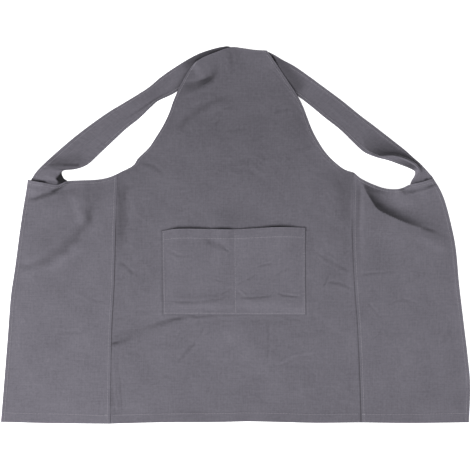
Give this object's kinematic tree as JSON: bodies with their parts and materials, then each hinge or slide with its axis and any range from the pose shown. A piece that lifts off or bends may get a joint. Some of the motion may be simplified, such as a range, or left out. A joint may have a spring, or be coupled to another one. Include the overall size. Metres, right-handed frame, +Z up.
{
  "type": "cross-back apron",
  "caption": "Cross-back apron in plain grey canvas, laid flat: bib front, lapped back panels, wide straps that cross behind the bib, and a divided patch pocket.",
  "frame": {"origin": "middle of the apron's outline, on the surface it lies on", "axes": "+X across the apron to the right as seen from above, +Y from the bottom hem towards the bib, +Z up from the surface"},
  "size_m": [1.1029, 0.8876, 0.0193],
  "materials": {
    "canvas": "matt plain-weave cotton canvas, slightly washed"
  },
  "bodies": {
    "root": {"front_panel": "canvas", "back_panel_left": "canvas", "back_panel_right": "canvas", "strap_left": "canvas", "strap_right": "canvas", "pocket": "canvas"}
  },
  "joints": []
}
